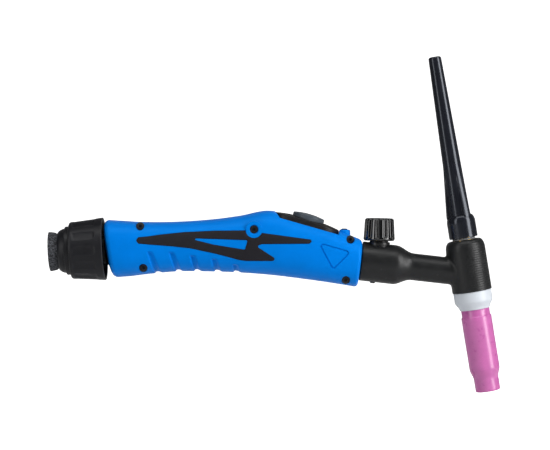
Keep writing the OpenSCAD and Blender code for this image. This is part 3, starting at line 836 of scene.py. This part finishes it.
def distance_inside(points, loops):
    """Signed distance of 2-D points from closed loops: positive inside, by the even-odd rule."""
    points = np.asarray(points, float)
    best = np.full(len(points), 1e9)
    inside = np.zeros(len(points), bool)
    for loop in loops:
        a = np.asarray(loop, float)
        b = np.roll(a, -1, 0)
        for p, q in zip(a, b):
            d = q - p
            t = np.clip(((points - p) @ d) / max(d @ d, 1e-12), 0, 1)
            best = np.minimum(best, np.linalg.norm(points - p - t[:, None] * d, axis=1))
            crosses = (p[1] > points[:, 1]) != (q[1] > points[:, 1])
            with np.errstate(divide="ignore", invalid="ignore"):
                at = p[0] + (points[:, 1] - p[1]) / (q[1] - p[1]) * d[0]
            inside ^= crosses & (points[:, 0] < at)
    return np.where(inside, best, -best)


def resample(loop, pitch):
    """A closed loop with points about every pitch, corners kept."""
    result = []
    for p, q in zip(loop, np.roll(np.asarray(loop, float), -1, 0)):
        p = np.asarray(p, float)
        count = max(1, int(round(np.linalg.norm(q - p) / pitch)))
        result += [p + (q - p) * t / count for t in range(count)]
    return np.array(result)


def offset_loop(loop, by):
    """A closed loop moved sideways, towards its left for positive values."""
    loop = np.asarray(loop, float)
    ahead, behind = np.roll(loop, -1, 0), np.roll(loop, 1, 0)
    tangent = ahead - behind
    tangent /= np.maximum(np.linalg.norm(tangent, axis=1), 1e-9)[:, None]
    return loop + by * np.column_stack([-tangent[:, 1], tangent[:, 0]])


def moulding(name, loops, top, bottom, edge, node, where, pitch=0.8, flip=None):
    """A flat moulding: 2-D loops, with a top height and a bottom height, and rounded top edges.

    flip turns (u, v, height) into local points; by default they are x, y and z.
    """
    loops = [resample(loop, pitch * 0.7) for loop in loops]
    rings = [0.0, 0.12 * edge, 0.3 * edge, 0.6 * edge, edge]
    cloud = [np.concatenate(loops)]
    for by in rings[1:]:
        for loop in loops:
            for moved in (offset_loop(loop, by), offset_loop(loop, -by)):
                keep = np.abs(distance_inside(moved, loops) - by) < 0.06 * edge
                cloud.append(moved[keep])
    low, high = loops[0].min(0), loops[0].max(0)
    u, v = np.meshgrid(np.arange(low[0], high[0], pitch), np.arange(low[1], high[1], pitch))
    grid = np.column_stack([u.ravel(), v.ravel()])
    cloud.append(grid[distance_inside(grid, loops) > edge + 0.35 * pitch])
    cloud = np.concatenate(cloud)
    edges = []
    start = 0
    for loop in loops:
        edges += [(start + i, start + (i + 1) % len(loop)) for i in range(len(loop))]
        start += len(loop)
    flat, _, tris, *_ = delaunay_2d_cdt([Vector(p) for p in cloud], edges, [], 0, 1e-5)
    flat = np.array([tuple(p) for p in flat])
    tris = np.array([list(t) for t in tris])
    middle = flat[tris].mean(1)
    tris = tris[distance_inside(middle, loops) > 0]
    inside = np.clip(distance_inside(flat, loops), 0, edge)
    drop = edge - np.sqrt(np.maximum(edge ** 2 - (edge - inside) ** 2, 0))
    upper = top(flat[:, 0], flat[:, 1]) - drop
    lower = bottom(flat[:, 0], flat[:, 1])
    count = len(flat)
    points = np.concatenate([np.column_stack([flat, upper]), np.column_stack([flat, lower])])
    a, b, c = flat[tris[:, 0]], flat[tris[:, 1]], flat[tris[:, 2]]
    area = (b[:, 0] - a[:, 0]) * (c[:, 1] - a[:, 1]) - (b[:, 1] - a[:, 1]) * (c[:, 0] - a[:, 0])
    tris = np.where((area < 0)[:, None], tris[:, ::-1], tris)
    faces = [tuple(t) for t in tris] + [tuple(t[::-1] + count) for t in tris]
    sides = {(int(t[i]), int(t[(i + 1) % 3])): None for t in tris for i in range(3)}
    faces += [(j, i, i + count, j + count) for i, j in sides if (j, i) not in sides]
    if flip:
        points = flip(points)
    piece = make(name, points, faces, node, where)
    shade(piece.data, 50)
    return piece


# ---------------------------------------------------------------- handle pieces

def pocket(loop, islands, side, depth):
    """A cutter that sinks an outline into the handle's side to an even depth, apart from its islands."""
    cutter = prism(loop, side * 4, side * 24)
    holes = [prism(island, side * 2, side * 26) for island in islands]
    core = build_form("cutter", side, inset=depth, detail=False)
    return cut_with(cutter, holes + [core])


def hollow_loop():
    """Side outline of the hollow inside the handle."""
    places = np.array([17.8, 36.3, 56.3, 72.3, 89.3, 104.3, 120.3, 137.8])
    sizes = section_sizes(places)
    upper = np.column_stack([REAR + places, sizes[:, 0] - HOLLOW_WALL])
    lower = np.column_stack([REAR + places, sizes[:, 1] + HOLLOW_WALL])
    return np.concatenate([upper, lower[::-1]])


SOCKET_R = 14.2        # the seat of the swivel's race
NECK_R = 8.05          # the hole that the rubber body goes into
HOLLOW_HALF, HOLLOW_WALL = 9.0, 4.2
POCKET_DEPTH = 1.35    # the inlay's pocket
TRIANGLE_DEPTH, TRIANGLE_LINE = 0.2, 0.6
RING_PROUD = 0.30      # the raised ring round the middle screw
SCREW_SEATS = [7.6, 8.5, 10.9, 5.9, 7.9]
PAD_FRAME_XY = (TRIGGER[0][:, [0, 2, 1]], TRIGGER[1])
_pad_low, _pad_high = local_box("trigger_pad", TRIGGER)
PAD_MID = (_pad_low[0] + _pad_high[0]) / 2
PAD_HALF, PAD_WIDE = (_pad_high[0] - _pad_low[0]) / 2, (_pad_high[1] - _pad_low[1]) / 2
PAD_BASE, PAD_TOP = _pad_low[2], _pad_high[2]
PAD_PROUD = 3.85       # height of the pad's crown above the flat land round it
_latch_low, _latch_high = local_box("pad_latch", WORLD)
LATCH_R = (_latch_high[1] - _latch_low[1]) / 2
LATCH = at(((_latch_low[0] + _latch_high[0]) / 2, 0, _latch_high[2]))


def stadium(grow, count=32):
    """The pad's outline in its own frame, grown by a distance."""
    r, reach = PAD_WIDE + grow, PAD_HALF - PAD_WIDE
    half = np.linspace(-math.pi / 2, math.pi / 2, count)
    right = [(PAD_MID + reach + r * math.cos(a), r * math.sin(a)) for a in half]
    return right + [(2 * PAD_MID - p[0], -p[1]) for p in right]


def land_outline():
    """Outline of the flat land that the pad stands on, in the pad's frame."""
    rear, front, r = PAD_MID - PAD_HALF - 0.1, PAD_MID + PAD_HALF + 0.25, PAD_WIDE + 6
    arc = [(rear + r - r * math.cos(a), r * math.sin(a))
           for a in np.linspace(math.pi / 2, -math.pi / 2, 40)]
    return [(front, -r), (front, r)] + arc


def screw_place(screw, side):
    """A frame whose Z runs outwards along a screw's axis on one side of the handle."""
    return np.array([[1, 0, 0], [0, 0, side], [0, -side, 0]], float), np.array([screw[0], 0, screw[1]])


def inward(loop, by):
    """A closed loop drawn in by a distance, or out for a negative one, whichever way round it runs."""
    loop = resample(loop, 0.5)
    moved = offset_loop(loop, by)
    is_inside = distance_inside(moved[:1], [loop])[0] > 0
    return moved if is_inside == (by > 0) else offset_loop(loop, -by)


def build_shell(name, node, side):
    """One half of the handle: its form, the raised ring and mound, and everything that is sunk into it."""
    shell = build_form(name, side, node=node)
    ring_y = float(side_of(*RING_SCREW)) + RING_PROUD
    boss = [(0.0, 6.0), (RING_R - 0.05, 6.0), (RING_R - 0.05, ring_y - 0.5)]
    boss += crown(RING_R - 0.05, ring_y - 0.45, 0.45, 0.45, 6) + [(0.0, ring_y)]
    mound_r = LATCH_R + 1.6
    mound = [(0.0, -9.0), (mound_r, -9.0), (mound_r, -1.5)]
    mound += crown(mound_r, -1.5, 1.1, 0.9, 6) + [(0.0, -0.6)]
    additions = [spun(boss, screw_place(RING_SCREW, side)), half_of(spun(mound, LATCH), side)]
    cutters = [
        pocket(INLAY, [WINDOW, circle_points(RING_SCREW, RING_R)], side, POCKET_DEPTH),
        pocket(TRIANGLE, [], side, TRIANGLE_DEPTH),
        pocket(TRIANGLE, [inward(TRIANGLE, TRIANGLE_LINE)], side, TRIANGLE_LINE),
        prism(hollow_loop(), side * -1.0, side * HOLLOW_HALF),
        ball(SOCKET_R, SWIVEL[1]),
        rod(10.5, 0, SOCKET_R + 4, SWIVEL),
        cone(15, -14.4, 11, -8.4, SWIVEL),
        rod(NECK_R, -72, -50, TUBE),
        prism(stadium(0.06), PAD_BASE - 0.3, PAD_TOP + 10, PAD_FRAME_XY),
        prism(land_outline(), PAD_TOP - PAD_PROUD, PAD_TOP + 10, PAD_FRAME_XY),
        rod(LATCH_R + 0.06, -8, 8, LATCH),
    ]
    if side < 0:
        cutters += [rod(RECESS_R, seat, 30, screw_place(s, side)) for s, seat in zip(SCREWS, SCREW_SEATS)]
        cutters.append(cone(RECESS_R, ring_y - 0.4, RECESS_R + 0.8, ring_y + 0.4,
                            screw_place(RING_SCREW, side)))
    cut_with(shell, additions, keep="UNION")
    cut_with(shell, cutters)
    shade(shell.data, 30)
    finish_piece(shell, node)


def half_of(piece, side):
    """Cuts away the part of a solid across the seam."""
    size = 400
    box = prism([(-size, -size), (size, -size), (size, size), (-size, size)], -side * size, side * SEAM)
    return cut_with(piece, [box])


def build_inlay(name, node, side):
    """The soft inlay in the shell's pocket, with a window and a bite round the raised ring."""
    gap, proud, sunk, edge = 0.13, 0.10, 1.28, 0.42
    outline = subtract_disc(inward(INLAY, gap), RING_SCREW, RING_R + gap)
    window = inward(WINDOW, -gap)

    def stand(points):
        return np.column_stack([points[:, 0], side * points[:, 2], points[:, 1]])

    piece = moulding(name, [outline, window], lambda u, v: side_of(u, v) + proud,
                     lambda u, v: side_of(u, v) - sunk, edge, node, WORLD, 0.9, stand)
    finish_piece(piece, node)


def subtract_disc(loop, centre, r):
    """A closed loop with the part inside a disc replaced by the disc's own edge."""
    loop = resample(loop, 0.25)
    d = np.linalg.norm(loop - np.array(centre), axis=1)
    outside = d > r
    if outside.all():
        return loop
    start = next(i for i in range(len(loop)) if outside[i] and not outside[i - 1])
    loop, outside = np.roll(loop, -start, 0), np.roll(outside, -start)
    kept = loop[outside]
    a, b = kept[-1] - centre, kept[0] - centre
    a0, b0 = math.atan2(a[1], a[0]), math.atan2(b[1], b[0])
    for turn in (b0 - a0, b0 - a0 + TAU, b0 - a0 - TAU):
        arc = [np.array(centre) + r * np.array([math.cos(a0 + turn * t), math.sin(a0 + turn * t)])
               for t in np.linspace(0, 1, 40)]
        if distance_inside([arc[20]], [loop])[0] > 0 and abs(turn) < TAU:
            return np.concatenate([kept, arc])
    return kept


def build_pad():
    """The trigger's pad: a stadium with a crowned top, open round the button."""
    hole = circle_points((0, 0), BUTTON_R + 0.15, 96)

    long_r, wide_r, crest = 100, 45, PAD_TOP + 0.4

    def top(u, v):
        fall_long = long_r - np.sqrt(long_r ** 2 - (u - PAD_MID) ** 2)
        return crest - fall_long - wide_r + np.sqrt(wide_r ** 2 - v ** 2)

    piece = moulding("trigger_pad_plate", [stadium(0), hole], top,
                     lambda u, v: PAD_BASE + 0 * u, 0.7, "trigger_pad", TRIGGER)
    finish_piece(piece, "trigger_pad")


def build_button():
    _, high = local_box("trigger_button", TRIGGER)
    rim = high[2] - 1.45
    outline = [(0.0, 0.0), (BUTTON_R - 0.2, 0.0), (BUTTON_R, 0.2), (BUTTON_R, rim - 0.75)]
    outline += crown(BUTTON_R, rim - 0.75, 0.75, 0.55, 6)
    outline += [(r, rim - 0.15 + 0.9 * (1 - (r / 8.4) ** 2)) for r in np.linspace(8.1, 0, 16)]
    finish_piece(turned("trigger_button_cap", outline, "trigger_button", TRIGGER, 128), "trigger_button")


def build_latch():
    """The small pin in front of the pad, with a rounded, slightly dished top."""
    outline = [(0.0, -6.0), (LATCH_R, -6.0), (LATCH_R, -0.75)] + crown(LATCH_R, -0.75, 0.8, 0.75, 6)
    outline += [(0.8, 0.0), (0.7, -0.12), (0.0, -0.15)]
    finish_piece(turned("pad_latch_pin", outline, "pad_latch", LATCH, 56), "pad_latch")


# ---------------------------------------------------------------- swivel and cable

def build_nut():
    """The swivel's nut: a bell with shallow grip flutes and a thin front lip."""
    rear, front = -29.9, -10.4
    outline = [(8.25, rear), (15.35, rear)] + [(15.35 + 0.9 * math.sin(a), rear + 0.9 * (1 - math.cos(a)))
                                              for a in np.linspace(0, math.pi / 2, 6)]
    outline += [(16.35 + 1.6 * t, rear + 1.0 + (front - rear - 1.6) * t) for t in np.linspace(0.02, 1, 44)]
    outline += [(18.0, front - 0.35), (17.85, front - 0.05), (17.6, front), (17.1, front)]
    outline += [(16.9, front - 0.2), (16.7, front - 1.2), (16.2, front - 4), (15.4, rear + 8)]
    outline += [(8.25, rear + 7)]
    flutes, flute_depth, flute_half, mean_r = 12, 0.45, 2.5, 17

    def grip(rr, z, a):
        sector = (a + math.pi / flutes) % (TAU / flutes) - math.pi / flutes
        across = np.abs(sector) * mean_r
        flute = np.clip(1 - (across / flute_half) ** 2, 0, 1) ** 0.75
        length = step(z, rear + 2.2, rear + 3.4) * (1 - step(z, front - 5.2, front - 4.0))
        outer = (rr > 16.2) & (z < front - 1.0)
        return rr - outer * flute_depth * flute * length

    finish_piece(turned("swivel_nut_bell", outline, "swivel_nut", SWIVEL, 360, shape=grip), "swivel_nut")


def build_clamp():
    outline = [(8.25, -29.95), (13.9, -29.95), (13.9, -32.25), (13.6, -32.5), (12.95, -32.65), (12.8, -33.1),
               (12.45, -34.3), (11.9, -35.5), (11.3, -36.3), (10.95, -36.58), (10.2, -36.6), (10.15, -36.4),
               (10.15, -31.4), (8.25, -31.4)]
    finish_piece(turned("jacket_clamp", outline, "jacket_ferrule", SWIVEL, 128, 0.15), "jacket_ferrule")


JACKET_AROUND, JACKET_ROWS = 528, 78
JACKET_WALL = 1.3
YARNS = 66
YARN_SLANT = 0.9
YARN_DEPTH = 0.30
CLAMP_FROM, CLAMP_TO = -38.4, -37.2    # where the ferrule begins to squeeze the sleeve, and where it is full


def build_jacket():
    """The woven sleeve: flat yarns that cross over and under in two slanting directions."""
    low, high = local_box("cable_jacket", SWIVEL)
    rear, front, r = low[2], high[2], high[1]
    z = np.linspace(rear, front, JACKET_ROWS)[:, None]
    a = np.linspace(0, TAU, JACKET_AROUND, endpoint=False)[None, :]
    rise = z / (TAU * r / YARNS) * YARN_SLANT
    first, second = a * YARNS / TAU + rise, a * YARNS / TAU - rise
    over = np.cos(math.pi * (first + second)) * np.cos(math.pi * (first - second))
    lane = np.abs(np.cos(math.pi * first)) ** 0.5
    cross = np.abs(np.cos(math.pi * second)) ** 0.5
    height = YARN_DEPTH * np.where(over > 0, lane, cross) - 0.28
    squeeze = 0.6 * step(z, CLAMP_FROM, CLAMP_TO)
    flare = 0.55 * (1 - step(z, rear + 0.5, CLAMP_TO))
    outer_r = r + height - squeeze + flare
    inner_r = r - JACKET_WALL + 0.12 * np.cos(math.pi * first) + 0 * z
    fray = 0.35 * np.abs(np.sin(a * YARNS / 2)) * (np.arange(JACKET_ROWS)[:, None] == 0)
    outer, inner = (np.stack([rr * np.cos(a), rr * np.sin(a), z + fray + 0 * a], -1)
                    for rr in (outer_r, inner_r))
    points = np.concatenate([outer, inner[::-1]]).reshape(-1, 3)
    faces = grid_faces(2 * JACKET_ROWS, JACKET_AROUND, wrap_rows=True)
    finish_piece(make("cable_jacket_weave", points, faces, "cable_jacket", SWIVEL), "cable_jacket")


# ---------------------------------------------------------------- build the pieces

build_gasket()
build_nozzle()
build_cap_seal()
build_cap()
build_cover()
build_gland()
build_knob()
build_bleed_plug()
build_shell("shell_left_half", "shell_left", 1)
build_shell("shell_right_half", "shell_right", -1)
build_inlay("inlay_left_grip", "inlay_left", 1)
build_inlay("inlay_right_grip", "inlay_right", -1)
build_pad()
build_button()
build_latch()
build_nut()
build_clamp()
build_jacket()


# ---------------------------------------------------------------- finish, light and camera

for node_name, cad_node in frame["nodes"].items():
    cad_node.data.materials.clear()
    cad_node.data.materials.append(MATERIALS[SLOT_OF[node_name]])
    shade(cad_node.data, 32)

CAMERA_AIM = Vector((-0.1116, 0, 0.0277))
CAMERA_DISTANCE = 1.035
CAMERA_LENS = 118
CAMERA_RISE = math.radians(1.2)
FLOOR_GAP = 0.030
ROOM_HALF, BEND_FROM, BEND_R = 3.0, 0.9, 0.8       # the studio sweep, in metres
WORLD_LIGHT = 0.07


def add_camera():
    """A level camera on the torch's right side."""
    data = bpy.data.cameras.new("camera")
    data.lens = CAMERA_LENS
    data.sensor_width = 36
    data.clip_end = 20
    camera = bpy.data.objects.new("camera", data)
    bpy.context.scene.collection.objects.link(camera)
    back = Vector((0, -math.cos(CAMERA_RISE), math.sin(CAMERA_RISE)))
    camera.location = CAMERA_AIM + back * CAMERA_DISTANCE
    camera.rotation_mode = "QUATERNION"
    camera.rotation_quaternion = (-back).to_track_quat("-Z", "Y")
    bpy.context.scene.camera = camera


def add_panel(name, position, size, watts):
    """A white rectangular light that faces the torch."""
    data = bpy.data.lights.new(name, "AREA")
    data.shape = "RECTANGLE"
    data.size, data.size_y = size
    data.energy = watts
    lamp = bpy.data.objects.new(name, data)
    bpy.context.scene.collection.objects.link(lamp)
    lamp.location = position
    lamp.rotation_mode = "QUATERNION"
    lamp.rotation_quaternion = (CAMERA_AIM - Vector(position)).to_track_quat("-Z", "Y")


def add_room():
    """A pale floor that curves up into a wall, and an even white world."""
    floor_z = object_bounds()[0].z - FLOOR_GAP
    section = [(-ROOM_HALF, floor_z), (BEND_FROM, floor_z)]
    section += [(BEND_FROM + BEND_R * math.sin(a), floor_z + BEND_R * (1 - math.cos(a)))
                for a in (t * math.pi / 24 for t in range(1, 13))]
    section += [(BEND_FROM + BEND_R, floor_z + ROOM_HALF)]
    points = [(x / MM, y / MM, z / MM) for y, z in section for x in (-ROOM_HALF, ROOM_HALF)]
    faces = grid_faces(len(section), 2, wrap_columns=False)
    sweep = make("studio_sweep", points, faces, None, closed=False)
    n = Nodes("studio_paper")
    sweep.data.materials.append(n.finish({
        "Base Color": n.mix(n.noise(60, 3), (0.84, 0.84, 0.84), (0.86, 0.86, 0.86)),
        "Roughness": 0.9, "Specular IOR Level": 0.1, "Emission Color": (1, 1, 1),
        "Emission Strength": n.add("ShaderNodeLightPath").outputs["Is Camera Ray"]}))


def add_world():
    """White to the camera, and a dim even grey to everything else."""
    world = bpy.data.worlds.new("studio_world")
    world.use_nodes = True
    tree = world.node_tree
    background = tree.nodes["Background"]
    background.inputs["Color"].default_value = (1, 1, 1, 1)
    path = tree.nodes.new("ShaderNodeLightPath")
    strength = tree.nodes.new("ShaderNodeMapRange")
    strength.inputs["To Min"].default_value = WORLD_LIGHT
    strength.inputs["To Max"].default_value = 1.0
    tree.links.new(path.outputs["Is Camera Ray"], strength.inputs["Value"])
    tree.links.new(strength.outputs["Result"], background.inputs["Strength"])
    bpy.context.scene.world = world


scene = bpy.context.scene
scene.view_settings.view_transform = "Standard"
scene.view_settings.look = "None"
add_camera()
add_room()
add_world()
add_panel("key_right", (0.80, -0.55, 0.35), (0.45, 1.10), 14)
add_panel("top_front", (-0.15, -0.35, 0.90), (1.0, 0.40), 4)
add_panel("fill_left", (-0.90, -0.70, 0.30), (0.30, 1.10), 4.2)
